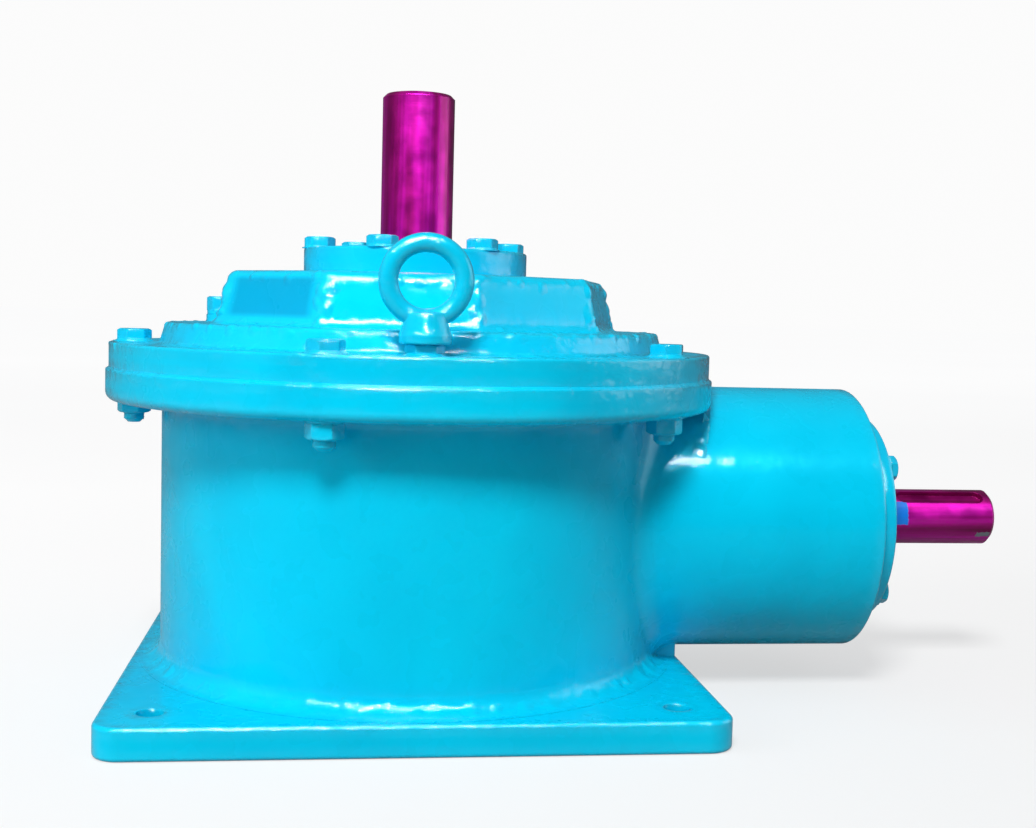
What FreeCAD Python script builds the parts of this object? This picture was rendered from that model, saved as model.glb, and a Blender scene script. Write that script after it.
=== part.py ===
"""Right-angle bevel gearbox: a vertical output shaft driven by a horizontal input shaft.

A cast drum on a square foot carries a round cover with a nine-sided crown. The horizontal barrel
holds the pinion cartridge. Millimetres, +Z up, +X along the input shaft. The origin is on the
output shaft's axis, in the plane that the foot stands on. Every solid is a separate real piece.
"""

import math
import os

import FreeCAD
import Part

# Foot and drum of the case
FOOT_OVERHANG = 21.0
BASE_THICKNESS = 24.0
BASE_CORNER_RADIUS = 20.0
BASE_EDGE_RADIUS = 3.0
FOOT_HOLE_RADIUS = 10.0
FOOT_HOLE_INSET = 37.0
DRUM_RADIUS = 206.0
DRUM_WALL = 14.0
DRUM_FOOT_FILLET = 14.0
CASE_FLANGE_OVERHANG = 44.0
CASE_FLANGE_THICKNESS = 25.0
CASE_FLANGE_ROUNDING = 7.0

# Barrel round the input shaft
BARREL_RADIUS = 112.0
BARREL_REACH = 172.0
BARREL_FOOT_GAP = 4.0
BARREL_TOP_DROP = 8.0
BARREL_WALL = 14.0
BARREL_END_WALL = 30.0
BARREL_END_ROUNDING = 2.0
BARREL_BLEND_RADIUS = 24.0
BARREL_INNER_WALL = 27.0
BARREL_INNER_INSET = 5.0
SADDLE_WIDTH = 84.0

# Cover
GASKET_THICKNESS = 0.5
COVER_FLANGE_INSET = 2.5
COVER_FLANGE_THICKNESS = 20.5
COVER_STEP_HEIGHT = 16.5
COVER_STEP_INSET = 39.0
COVER_STEP_DRAFT = 5.0
COVER_WALL = 12.0
COVER_SPIGOT_DEPTH = 6.0
COVER_SPIGOT_WALL = 8.0
CROWN_SIDES = 9
CROWN_FACE_ANGLE = 263.4
CROWN_HEIGHT = 42.0
CROWN_INSET = 41.5
CROWN_DRAFT = 10.0
CROWN_EDGE_RADIUS = 8.5
CROWN_FOOT_FILLET = 8.0
HUB_WALL = 35.0
COVER_RIB_THICKNESS = 10.0

# Cover bolts, straddling the barrel
COVER_BOLTS = 5
COVER_BOLT_FIRST_ANGLE = 36.0
COVER_BOLT_INSET = 20.0

# Output shaft, standing up
OUTPUT_SHAFT_RADIUS = 30.0
OUTPUT_EXTENSION = 129.0
OUTPUT_JOURNAL_STEP = 2.5
OUTPUT_BODY_RADIUS = 42.5
WHEEL_SEAT_RADIUS = 38.0
OUTPUT_KEYWAY_WIDTH = 18.0
OUTPUT_KEYWAY_DEPTH = 7.0
OUTPUT_KEYWAY_LENGTH = 100.0
OUTPUT_KEYWAY_ANGLE = 90.0
SHAFT_END_CHAMFER = 3.0

# Output cap
OUTPUT_CAP_RADIUS = 93.0
OUTPUT_CAP_THICKNESS = 21.5
OUTPUT_CAP_BOLTS = 6
OUTPUT_CAP_BOLT_FIRST_ANGLE = 8.0
OUTPUT_CAP_BOLT_INSET = 12.5
OUTPUT_SPIGOT_DEPTH = 13.25

# Input shaft and its cartridge
INPUT_SHAFT_RADIUS = 24.0
INPUT_JOURNAL_STEP = 1.0
INPUT_EXTENSION = 117.0
INPUT_KEYWAY_WIDTH = 14.0
INPUT_KEYWAY_DEPTH = 5.5
INPUT_KEYWAY_LENGTH = 80.0
INPUT_KEYWAY_END_GAP = 8.5
INPUT_KEYWAY_TURN = 35.0
PINION_NECK_RADIUS = 36.0
PINION_SHOULDER = 158.0
SLEEVE_WALL = 8.0
SLEEVE_FLANGE_THICKNESS = 9.0
SLEEVE_RIB_HEIGHT = 7.0
INPUT_CAP_THICKNESS = 10.0
INPUT_CAP_RIM = 13.0
INPUT_CAP_BOLTS = 4
INPUT_CAP_BOLT_FIRST_ANGLE = 49.5
INPUT_CAP_SPIGOT = 8.0
LOCKNUT_WIDTH = 11.0
LOCKNUT_RADIUS = 35.0
LOCKWASHER_THICKNESS = 1.5

# Spiral bevel pair
GEAR_MODULE = 6.0
PINION_TEETH = 15
WHEEL_TEETH = 45
FACE_WIDTH = 42.0
PRESSURE_ANGLE = 20.0
SPIRAL_ANGLE = 25.0
WHOLE_DEPTH = 2.188
PINION_ADDENDUM = 1.41
BACKLASH = 1.05
WHEEL_BACK = 72.0
WHEEL_BORE_RADIUS = 80.0
HUB_FLANGE_THICKNESS = 14.0
HUB_RADIUS = 60.0
HUB_LENGTH = 60.0
WHEEL_BOLTS = 8
WHEEL_KEY_WIDTH = 22.0
WHEEL_KEY_HEIGHT = 14.0

# Tapered roller bearings: bore, outside diameter, total width, cone width, cup width
UPPER_BEARING = (70.0, 125.0, 26.25, 24.0, 21.0)
LOWER_BEARING = (60.0, 110.0, 23.75, 22.0, 19.0)
PINION_INNER_BEARING = (60.0, 110.0, 29.75, 28.0, 24.0)
PINION_OUTER_BEARING = (50.0, 110.0, 29.25, 27.0, 23.0)
ROLLER_AXIS_ANGLE = 12.8
ROLLER_SHARE = 0.25
ROLLER_CLEARANCE = 0.3
CAGE_THICKNESS = 1.6

# Oil seals
SEAL_DEPTH = 10.0
SEAL_HEIGHT = 12.0
SEAL_CLEARANCE = 0.1

# Lifting eyes, the first at the front and the second across from it
EYE_ANGLE = 269.0
EYE_HOLE_RADIUS = 19.0
EYE_BAR_RADIUS = 6.8
EYE_COLLAR_RADIUS = 18.0
EYE_COLLAR_HEIGHT = 13.0
EYE_RING_HEIGHT = 43.0
EYE_NUT_HEIGHT = 8.0
EYE_SHANK_REACH = 24.0

# Oil fittings
PLUG_ACROSS_FLATS = 22.0
PLUG_HEAD_HEIGHT = 12.0
PLUG_COLLAR_HEIGHT = 4.0
PLUG_THREAD_RADIUS = 8.0
FILLER_ANGLE = 152.0
FILLER_INSET = 13.5
FILLER_BOSS_RADIUS = 13.0
FILLER_BOSS_PROUD = 6.0
BOSS_RADIUS = 24.0
BOSS_PROUD = 6.0
DRAIN_ANGLE = 128.0
DRAIN_HEIGHT = 62.0
SIGHT_ANGLE = 90.0
SIGHT_HEIGHT = 112.0
SIGHT_BEZEL_RADIUS = 20.0
SIGHT_BEZEL_HEIGHT = 9.0
SIGHT_GLASS_RADIUS = 12.0

# Clearances
STATIC_FIT = 0.05
BOLT_HOLE_CLEARANCE = 1.0
RUNNING_GAP = 1.5

# Metric hexagon hardware: thread radius, across flats, head height, nut height
M16 = (8.0, 24.0, 10.0, 13.0)
M14 = (7.0, 22.0, 9.0, 11.0)
M12 = (6.0, 19.0, 7.5, 10.0)
BOLT_END_PROUD = 8.0
COVER_HEAD_TURN = 12.0
COVER_NUT_TURN = 53.0

# Places worked out from the sizes above
base_half = DRUM_RADIUS + FOOT_OVERHANG
input_axis_height = BASE_THICKNESS + BARREL_FOOT_GAP + BARREL_RADIUS
parting_height = input_axis_height + BARREL_RADIUS + BARREL_TOP_DROP
barrel_end = DRUM_RADIUS + BARREL_REACH
barrel_inner_face = PINION_SHOULDER + BARREL_INNER_INSET
foot_hole_place = base_half - FOOT_HOLE_INSET
case_flange_radius = DRUM_RADIUS + CASE_FLANGE_OVERHANG
cover_flange_radius = case_flange_radius - COVER_FLANGE_INSET
cover_bolt_circle = case_flange_radius - COVER_BOLT_INSET
drum_bore = DRUM_RADIUS - DRUM_WALL
cover_base = parting_height + GASKET_THICKNESS
cover_flange_top = cover_base + COVER_FLANGE_THICKNESS
step_top = cover_flange_top + COVER_STEP_HEIGHT
step_foot_radius = cover_flange_radius - COVER_STEP_INSET
step_radius = step_foot_radius - COVER_STEP_DRAFT
crown_top = step_top + CROWN_HEIGHT
crown_foot_inradius = step_radius - CROWN_INSET
crown_top_inradius = crown_foot_inradius - CROWN_DRAFT
crown_first_corner = CROWN_FACE_ANGLE + 180 / CROWN_SIDES
output_cap_top = crown_top + OUTPUT_CAP_THICKNESS
output_shaft_top = output_cap_top + OUTPUT_EXTENSION
output_journal_radius = OUTPUT_SHAFT_RADIUS + OUTPUT_JOURNAL_STEP
input_journal_radius = INPUT_SHAFT_RADIUS + INPUT_JOURNAL_STEP
output_cap_bolt_circle = OUTPUT_CAP_RADIUS - OUTPUT_CAP_BOLT_INSET
upper_bore = UPPER_BEARING[1] / 2 + STATIC_FIT
hub_outer = upper_bore + HUB_WALL
upper_cup_back = crown_top - OUTPUT_SPIGOT_DEPTH
upper_cone_back = upper_cup_back - UPPER_BEARING[2]
lower_cone_back = BASE_THICKNESS + LOWER_BEARING[2]
lower_bore = LOWER_BEARING[1] / 2 + STATIC_FIT
cartridge_bore = PINION_INNER_BEARING[1] / 2 + STATIC_FIT
sleeve_radius = cartridge_bore + SLEEVE_WALL
barrel_bore = sleeve_radius + STATIC_FIT
sleeve_flange_face = barrel_end + SLEEVE_FLANGE_THICKNESS
input_cap_face = sleeve_flange_face + INPUT_CAP_THICKNESS
input_bolt_circle = barrel_bore + M12[0] * 2
input_cap_radius = input_bolt_circle + INPUT_CAP_RIM
input_shaft_end = input_cap_face + INPUT_EXTENSION
outer_cone_back = barrel_end - BARREL_END_WALL
inner_cup_back = PINION_SHOULDER + PINION_INNER_BEARING[2]
outer_cup_back = outer_cone_back - PINION_OUTER_BEARING[2]
inner_cone_front = PINION_SHOULDER + PINION_INNER_BEARING[3]
outer_cone_front = outer_cone_back - PINION_OUTER_BEARING[3]

# Cone angles and distances of the bevel pair
wheel_angle = math.atan2(WHEEL_TEETH, PINION_TEETH)
pinion_angle = math.pi / 2 - wheel_angle
cone_distance = GEAR_MODULE * math.hypot(WHEEL_TEETH, PINION_TEETH) / 2
inner_distance = cone_distance - FACE_WIDTH
wheel_addendum = (2 - PINION_ADDENDUM) * GEAR_MODULE
wheel_dedendum = WHOLE_DEPTH * GEAR_MODULE - wheel_addendum
pinion_addendum = PINION_ADDENDUM * GEAR_MODULE
pinion_dedendum = WHOLE_DEPTH * GEAR_MODULE - pinion_addendum
wheel_back_height = input_axis_height + WHEEL_BACK
hub_top = wheel_back_height + HUB_FLANGE_THICKNESS + GEAR_MODULE
hub_bottom = hub_top - HUB_LENGTH
wheel_rim_radius = cone_distance * math.sin(wheel_angle)
wheel_bolt_circle = (WHEEL_BORE_RADIUS + wheel_rim_radius) / 2

UP = FreeCAD.Vector(0, 0, 1)
OUT = FreeCAD.Vector(1, 0, 0)
ORIGIN = FreeCAD.Vector(0, 0, 0)
APEX = FreeCAD.Vector(0, 0, input_axis_height)


def vec(x, y, z):
    return FreeCAD.Vector(x, y, z)


def polar(radius, degrees, z=0.0):
    """Point at a radius and a compass angle round the output axis."""
    turn = math.radians(degrees)
    return vec(radius * math.cos(turn), radius * math.sin(turn), z)


def rounded_wire(corners):
    """Closed wire in the XZ plane. A corner is (x, z) or (x, z, rounding radius)."""
    points = [vec(c[0], 0, c[1]) for c in corners]
    radii = [c[2] if len(c) > 2 else 0.0 for c in corners]
    count = len(points)
    starts, ends, arcs = [], [], []
    for i, point in enumerate(points):
        back = (points[i - 1] - point).normalize()
        ahead = (points[(i + 1) % count] - point).normalize()
        if radii[i] == 0:
            starts.append(point)
            ends.append(point)
            arcs.append(None)
            continue
        half = back.getAngle(ahead) / 2
        reach = radii[i] / math.tan(half)
        middle = (back + ahead).normalize()
        centre = point + middle * (radii[i] / math.sin(half))
        starts.append(point + back * reach)
        ends.append(point + ahead * reach)
        arcs.append(Part.Arc(starts[-1], centre - middle * radii[i], ends[-1]).toShape())
    edges = []
    for i in range(count):
        if arcs[i]:
            edges.append(arcs[i])
        if (starts[(i + 1) % count] - ends[i]).Length > 1e-6:
            edges.append(Part.makeLine(ends[i], starts[(i + 1) % count]))
    return Part.Wire(edges)


def turned(corners):
    """Solid turned round the Z axis from (radius, height) corners."""
    return Part.Face(rounded_wire(corners)).revolve(ORIGIN, UP, 360)


def rod(radius, start, end):
    """Upright cylinder on the Z axis."""
    return Part.makeCylinder(radius, end - start, vec(0, 0, start))


def ring(outer, inner, start, end):
    return rod(outer, start, end).cut(rod(inner, start, end))


def onto_input_axis(shape):
    """Takes a piece from the Z axis to the input axis: its +Z becomes +X and its +X becomes +Z."""
    placed = shape.copy()
    placed.transformShape(FreeCAD.Matrix(0, 0, 1, 0, 0, -1, 0, 0, 1, 0, 0, input_axis_height))
    return placed


def around(shape, count, first=0.0):
    """Copies of a piece made at angle zero, spread evenly round the Z axis."""
    return [shape.rotated(ORIGIN, UP, first + 360 * i / count) for i in range(count)]


def fused(shapes):
    return shapes[0].multiFuse(shapes[1:]).removeSplitter()


def hexagon(across_flats, start, end, chamfer_top=True, chamfer_bottom=False):
    """Hexagon bar on the Z axis whose corners are turned off at 30 degrees."""
    corner = across_flats / math.sqrt(3)
    points = [polar(corner, 60 * i, start) for i in range(7)]
    bar = Part.Face(Part.makePolygon(points)).extrude(vec(0, 0, end - start))
    fall = (corner - across_flats / 2 * 0.96) * math.tan(math.radians(30))
    low = fall if chamfer_bottom else 0.0
    high = fall if chamfer_top else 0.0
    face = across_flats / 2 * 0.96
    corners = [(0, start), (face if low else corner, start)]
    if low:
        corners.append((corner, start + low))
    if high:
        corners.append((corner, end - high))
    corners += [(face if high else corner, end), (0, end)]
    return bar.common(turned(corners))


def bolt(size, grip, end_chamfer=1.5):
    """Hexagon bolt standing on z = 0, head up, with its shank reaching down by the grip."""
    radius, across_flats, head, _ = size
    shank = turned([(0, 0), (radius, 0), (radius, -grip + end_chamfer), (radius - end_chamfer, -grip), (0, -grip)])
    return fused([hexagon(across_flats, 0, head), shank])


def nut(size, height):
    """Hexagon nut hanging below z = 0."""
    radius, across_flats, _, _ = size
    return hexagon(across_flats, -height, 0, True, True).cut(rod(radius + STATIC_FIT, -height, 0))


def keyway_cutter(width, length, depth, radius, start):
    """Round-ended slot cut into the +X side of a shaft on the Z axis, from start upwards."""
    half = width / 2
    bottom, top = start + half, start + length - half
    floor = radius - depth
    slot = Part.makeBox(depth * 2, width, top - bottom, vec(floor, -half, bottom))
    ends = [Part.makeCylinder(half, depth * 2, vec(floor, 0, z), OUT) for z in (bottom, top)]
    return fused([slot] + ends)


# Bevel teeth. In a gear's own frame the apex is the origin and the cone opens up the Z axis.


def spherical_involute(angle, base):
    """Turn round the axis of a spherical involute at a polar angle, from where it leaves its base cone."""
    if angle <= base:
        return 0.0
    rolled = math.acos(math.cos(angle) / math.cos(base)) / math.sin(base)
    return rolled - math.acos(math.tan(base) / math.tan(angle))


def space_section(teeth, angle, addendum, dedendum, thickness_share, distance, turn):
    """Closed wire of one tooth space, in the plane square to the pitch cone at a cone distance."""
    base = math.asin(math.sin(angle) * math.cos(math.radians(PRESSURE_ANGLE)))
    tip = angle + math.atan(addendum / cone_distance)
    root = angle - math.atan(dedendum / cone_distance)
    half_tooth = math.pi * thickness_share / teeth - BACKLASH / (4 * cone_distance * math.sin(angle))
    over_tip = tip + (tip - root) * 0.12
    at_pitch = spherical_involute(angle, base)
    steps = 5
    flank = []
    for i in range(steps + 1):
        polar_angle = root + (over_tip - root) * i / steps
        half_here = half_tooth + at_pitch - spherical_involute(polar_angle, base)
        flank.append((polar_angle, math.pi / teeth - half_here))
    generator = vec(math.sin(angle), 0, math.cos(angle))

    def place(polar_angle, azimuth):
        ray = vec(
            math.sin(polar_angle) * math.cos(azimuth),
            math.sin(polar_angle) * math.sin(azimuth),
            math.cos(polar_angle),
        )
        return ray * (distance / ray.dot(generator))

    right = [place(a, b) for a, b in flank]
    left = [place(a, -b) for a, b in flank]
    curve_right, curve_left = Part.BSplineCurve(), Part.BSplineCurve()
    curve_right.interpolate(right)
    curve_left.interpolate(left[::-1])
    wire = Part.Wire(
        [
            curve_right.toShape(),
            Part.makeLine(right[-1], left[-1]),
            curve_left.toShape(),
            Part.makeLine(left[0], right[0]),
        ]
    )
    return wire.rotated(ORIGIN, UP, math.degrees(turn))


def bevel_spaces(teeth, angle, addendum, dedendum, thickness_share, hand, first):
    """Cutters for every tooth space of a spiral bevel gear, the first centred at an angle in degrees."""
    middle = cone_distance - FACE_WIDTH / 2
    overrun = FACE_WIDTH * 0.1
    stations = 5
    sections = []
    for i in range(stations):
        distance = inner_distance - overrun + (FACE_WIDTH + 2 * overrun) * i / (stations - 1)
        turn = hand * math.tan(math.radians(SPIRAL_ANGLE)) * math.log(distance / middle) / math.sin(angle)
        sections.append(space_section(teeth, angle, addendum, dedendum, thickness_share, distance, turn))
    cutter = Part.makeLoft(sections, True, False)
    return around(cutter, teeth, first)


def cone_point(angle, distance, height):
    """(radius, height) of a point at a cone distance, raised square to the pitch cone."""
    return (
        distance * math.sin(angle) + height * math.cos(angle),
        distance * math.cos(angle) - height * math.sin(angle),
    )


def tooth_zone(angle, addendum):
    """Outer and inner tip points of a tapered tooth."""
    shrink = inner_distance / cone_distance
    return cone_point(angle, cone_distance, addendum), cone_point(angle, inner_distance, addendum * shrink)


def crown_wheel():
    """Ring of the crown wheel, teeth down, bolted against its hub."""
    outer_tip, inner_tip = tooth_zone(wheel_angle, wheel_addendum)
    below_root = wheel_dedendum + GEAR_MODULE
    heel = cone_point(wheel_angle, cone_distance, -below_root)
    toe = cone_point(wheel_angle, inner_distance, -below_root)
    blank = turned(
        [
            outer_tip,
            inner_tip,
            toe,
            (WHEEL_BORE_RADIUS, toe[1]),
            (WHEEL_BORE_RADIUS, WHEEL_BACK),
            (heel[0], WHEEL_BACK),
            heel,
        ]
    )
    spaces = bevel_spaces(
        WHEEL_TEETH, wheel_angle, wheel_addendum, wheel_dedendum, 0.46, 1, 180.0 / WHEEL_TEETH
    )
    gear = blank.cut(spaces)
    hole_depth = M12[0] * 2.2
    holes = around(rod(M12[0] + STATIC_FIT, WHEEL_BACK - hole_depth, WHEEL_BACK), WHEEL_BOLTS)
    for i, hole in enumerate(holes):
        hole.translate(polar(wheel_bolt_circle, 360 * i / WHEEL_BOLTS))
    gear = gear.cut(holes)
    gear.translate(APEX)
    return gear


def wheel_hub():
    """Hub that carries the crown wheel on the output shaft."""
    bore = WHEEL_SEAT_RADIUS + STATIC_FIT
    spigot = WHEEL_BORE_RADIUS - STATIC_FIT
    rim = wheel_bolt_circle + M12[1] * 0.8
    body = turned(
        [
            (bore, hub_bottom),
            (HUB_RADIUS, hub_bottom),
            (HUB_RADIUS, wheel_back_height - HUB_FLANGE_THICKNESS, 4),
            (spigot, wheel_back_height - HUB_FLANGE_THICKNESS),
            (spigot, wheel_back_height),
            (rim, wheel_back_height),
            (rim, wheel_back_height + HUB_FLANGE_THICKNESS),
            (HUB_RADIUS, wheel_back_height + HUB_FLANGE_THICKNESS),
            (HUB_RADIUS, hub_top),
            (bore, hub_top),
        ]
    )
    hole = rod(M12[0] + BOLT_HOLE_CLEARANCE / 2, wheel_back_height, wheel_back_height + HUB_FLANGE_THICKNESS)
    holes = []
    for i in range(WHEEL_BOLTS):
        holes.append(hole.translated(polar(wheel_bolt_circle, 360 * i / WHEEL_BOLTS)))
    key_top = WHEEL_SEAT_RADIUS + WHEEL_KEY_HEIGHT * 0.4 + STATIC_FIT
    slot = Part.makeBox(
        key_top,
        WHEEL_KEY_WIDTH + 2 * STATIC_FIT,
        HUB_LENGTH,
        vec(0, -WHEEL_KEY_WIDTH / 2 - STATIC_FIT, hub_bottom),
    )
    return body.cut(holes + [slot])


def wheel_bolts():
    piece = bolt(M12, HUB_FLANGE_THICKNESS + M12[0] * 2)
    top = wheel_back_height + HUB_FLANGE_THICKNESS
    return [piece.translated(polar(wheel_bolt_circle, 360 * i / WHEEL_BOLTS, top)) for i in range(WHEEL_BOLTS)]


def wheel_key():
    """Parallel key between the shaft and the hub."""
    floor = WHEEL_SEAT_RADIUS - WHEEL_KEY_HEIGHT * 0.6
    inset = HUB_LENGTH * 0.05
    return Part.makeBox(
        WHEEL_KEY_HEIGHT,
        WHEEL_KEY_WIDTH,
        HUB_LENGTH - 2 * inset,
        vec(floor, -WHEEL_KEY_WIDTH / 2, hub_bottom + inset),
    )


def wheel_spacer():
    """Tube that holds the hub down from the upper bearing's cone."""
    inner = WHEEL_SEAT_RADIUS + STATIC_FIT
    return ring(inner + SLEEVE_WALL, inner, hub_top, upper_cone_back)


def output_shaft():
    """Stepped vertical shaft with its keyway turned to the back."""
    upper_seat = UPPER_BEARING[0] / 2 - STATIC_FIT
    lower_seat = LOWER_BEARING[0] / 2 - STATIC_FIT
    seat_end = upper_cone_back + UPPER_BEARING[3]
    journal_end = output_cap_top + OUTPUT_JOURNAL_STEP
    body = turned(
        [
            (0, BASE_THICKNESS + RUNNING_GAP),
            (lower_seat - RUNNING_GAP, BASE_THICKNESS + RUNNING_GAP),
            (lower_seat, BASE_THICKNESS + 2 * RUNNING_GAP),
            (lower_seat, lower_cone_back),
            (OUTPUT_BODY_RADIUS, lower_cone_back),
            (OUTPUT_BODY_RADIUS, hub_bottom),
            (WHEEL_SEAT_RADIUS, hub_bottom),
            (WHEEL_SEAT_RADIUS, upper_cone_back - RUNNING_GAP),
            (upper_seat, upper_cone_back - RUNNING_GAP),
            (upper_seat, seat_end),
            (output_journal_radius, seat_end),
            (output_journal_radius, journal_end),
            (OUTPUT_SHAFT_RADIUS, journal_end),
            (OUTPUT_SHAFT_RADIUS, output_shaft_top - SHAFT_END_CHAMFER),
            (OUTPUT_SHAFT_RADIUS - SHAFT_END_CHAMFER, output_shaft_top),
            (0, output_shaft_top),
        ]
    )
    keyway = keyway_cutter(
        OUTPUT_KEYWAY_WIDTH,
        OUTPUT_KEYWAY_LENGTH,
        OUTPUT_KEYWAY_DEPTH,
        OUTPUT_SHAFT_RADIUS,
        output_shaft_top - OUTPUT_KEYWAY_LENGTH - SHAFT_END_CHAMFER * 2,
    )
    cut_blank = body.cut([keyway, centre_hole(output_shaft_top, OUTPUT_SHAFT_RADIUS)])
    return cut_blank.rotated(ORIGIN, UP, OUTPUT_KEYWAY_ANGLE).cut(wheel_key())


def centre_hole(end, shaft_radius):
    """Lathe centre with a tapped pilot in a shaft's end."""
    mouth = shaft_radius * 0.24
    pilot = shaft_radius * 0.14
    depth = mouth - pilot
    return turned(
        [(0, end - mouth * 2.5), (pilot, end - mouth * 2.5), (pilot, end - depth), (mouth, end), (mouth, end + 1), (0, end + 1)]
    )


def pinion_shaft():
    """Bevel pinion cut in one piece with the stepped input shaft."""
    outer_tip, inner_tip = tooth_zone(pinion_angle, pinion_addendum)
    below_root = pinion_dedendum + GEAR_MODULE * 0.3
    heel = cone_point(pinion_angle, cone_distance, -below_root)
    toe = cone_point(pinion_angle, inner_distance, -below_root * inner_distance / cone_distance)
    inner_seat = PINION_INNER_BEARING[0] / 2 - STATIC_FIT
    outer_seat = PINION_OUTER_BEARING[0] / 2 - STATIC_FIT
    journal_end = input_cap_face + INPUT_JOURNAL_STEP
    body = turned(
        [
            (0, toe[1]),
            toe,
            inner_tip,
            outer_tip,
            heel,
            (PINION_NECK_RADIUS, heel[1] + GEAR_MODULE * 0.5),
            (PINION_NECK_RADIUS, PINION_SHOULDER),
            (inner_seat, PINION_SHOULDER),
            (inner_seat, inner_cone_front),
            (outer_seat, inner_cone_front),
            (outer_seat, journal_end),
            (INPUT_SHAFT_RADIUS, journal_end),
            (INPUT_SHAFT_RADIUS, input_shaft_end - SHAFT_END_CHAMFER),
            (INPUT_SHAFT_RADIUS - SHAFT_END_CHAMFER, input_shaft_end),
            (0, input_shaft_end),
        ]
    )
    spaces = bevel_spaces(PINION_TEETH, pinion_angle, pinion_addendum, pinion_dedendum, 0.54, -1, 0.0)
    keyway = keyway_cutter(
        INPUT_KEYWAY_WIDTH,
        INPUT_KEYWAY_LENGTH,
        INPUT_KEYWAY_DEPTH,
        INPUT_SHAFT_RADIUS,
        input_shaft_end - INPUT_KEYWAY_LENGTH - INPUT_KEYWAY_END_GAP,
    )
    cut_blank = body.cut([keyway, centre_hole(input_shaft_end, INPUT_SHAFT_RADIUS)])
    return onto_input_axis(cut_blank.rotated(ORIGIN, UP, INPUT_KEYWAY_TURN).cut(spaces))


# Tapered roller bearings. In a bearing's own frame the cone's back is z = 0 and the cup's back is z = width.


def bearing(size):
    """Cone, cup, cage and rollers of one tapered roller bearing, whose cones share one apex."""
    bore, outside, width, cone_width, cup_width = size
    tilt = math.radians(ROLLER_AXIS_ANGLE)
    pitch_radius = (bore + outside) / 4
    roller_radius = (outside - bore) / 2 * ROLLER_SHARE
    to_middle = pitch_radius / math.sin(tilt)
    roller_length = cup_width * 0.72
    middle_height = cone_width * 0.54
    apex_height = middle_height + pitch_radius / math.tan(tilt)
    flare = math.atan(roller_radius / to_middle)

    def race(height, angle, offset):
        return (apex_height - height) * math.tan(angle) + offset

    cup_angle, cone_angle = tilt + flare, tilt - flare
    gap = ROLLER_CLEARANCE
    cup_front = width - cup_width
    cup = turned(
        [
            (race(cup_front, cup_angle, gap), cup_front),
            (outside / 2, cup_front),
            (outside / 2, width),
            (race(width, cup_angle, gap), width),
        ]
    )
    half_length = roller_length / 2 * math.cos(tilt)
    end_tilt = (roller_radius + math.tan(flare) * roller_length / 2) * math.sin(tilt)
    rib_height = middle_height - half_length - end_tilt - gap * 2
    lip_height = middle_height + half_length + gap * 2
    rib = race(rib_height, cone_angle, roller_radius * 0.8)
    lip = race(lip_height, cone_angle, roller_radius * 0.25)
    cone = turned(
        [
            (bore / 2, 0),
            (rib, 0),
            (rib, rib_height),
            (race(rib_height, cone_angle, -gap), rib_height),
            (race(lip_height, cone_angle, -gap), lip_height),
            (lip, lip_height),
            (lip, cone_width),
            (bore / 2, cone_width),
        ]
    )
    axis_point = vec(pitch_radius, 0, middle_height)
    direction = vec(-math.sin(tilt), 0, math.cos(tilt))

    def roller(extra_radius, extra_length):
        length = roller_length + 2 * extra_length
        slope = math.tan(flare) * length / 2
        start = axis_point - direction * (length / 2)
        return Part.makeCone(
            roller_radius + slope + extra_radius, roller_radius - slope + extra_radius, length, start, direction
        )

    count = int(2 * math.pi * pitch_radius / (2 * roller_radius * 1.22))
    rollers = around(roller(0, 0), count)
    reach = roller_length / 2 * math.cos(tilt) + CAGE_THICKNESS * 1.5
    low, high = middle_height - reach, middle_height + reach
    half_cage = CAGE_THICKNESS / 2
    shift = roller_radius * 0.25
    cage = turned(
        [
            (race(low, tilt, shift - half_cage), low),
            (race(low, tilt, shift + half_cage), low),
            (race(high, tilt, shift + half_cage), high),
            (race(high, tilt, shift - half_cage), high),
        ]
    )
    cage = cage.cut(around(roller(gap, gap), count))
    return {"cone": cone, "cup": cup, "cage": cage, "rollers": Part.makeCompound(rollers)}


def place_bearings():
    """Every bearing piece at its seat, by node name."""
    flip = FreeCAD.Matrix(1, 0, 0, 0, 0, -1, 0, 0, 0, 0, -1, 0)
    nodes = {}
    seats = (
        ("upper_bearing", UPPER_BEARING, upper_cone_back, False, False),
        ("lower_bearing", LOWER_BEARING, lower_cone_back, True, False),
        ("pinion_inner_bearing", PINION_INNER_BEARING, PINION_SHOULDER, False, True),
        ("pinion_outer_bearing", PINION_OUTER_BEARING, outer_cone_back, True, True),
    )
    for name, size, back, flipped, on_input in seats:
        for part_name, shape in bearing(size).items():
            if flipped:
                shape = shape.copy()
                shape.transformShape(flip)
            shape = shape.translated(vec(0, 0, back))
            if on_input:
                shape = onto_input_axis(shape)
            nodes[name + "_" + part_name] = shape
    return nodes


# Castings


def cover_bolt_places(z):
    return [
        polar(cover_bolt_circle, COVER_BOLT_FIRST_ANGLE + 360 * i / COVER_BOLTS, z) for i in range(COVER_BOLTS)
    ]


def output_cap_bolt_places(z):
    return [
        polar(output_cap_bolt_circle, OUTPUT_CAP_BOLT_FIRST_ANGLE + 360 * i / OUTPUT_CAP_BOLTS, z)
        for i in range(OUTPUT_CAP_BOLTS)
    ]


def input_cap_bolt_places(z):
    """Places on the input cap, in the frame that onto_input_axis moves."""
    return [
        polar(input_bolt_circle, INPUT_CAP_BOLT_FIRST_ANGLE + 360 * i / INPUT_CAP_BOLTS, z)
        for i in range(INPUT_CAP_BOLTS)
    ]


def eye_places(z):
    return [polar(cover_bolt_circle, EYE_ANGLE + turn, z) for turn in (0, 180)]


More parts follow.
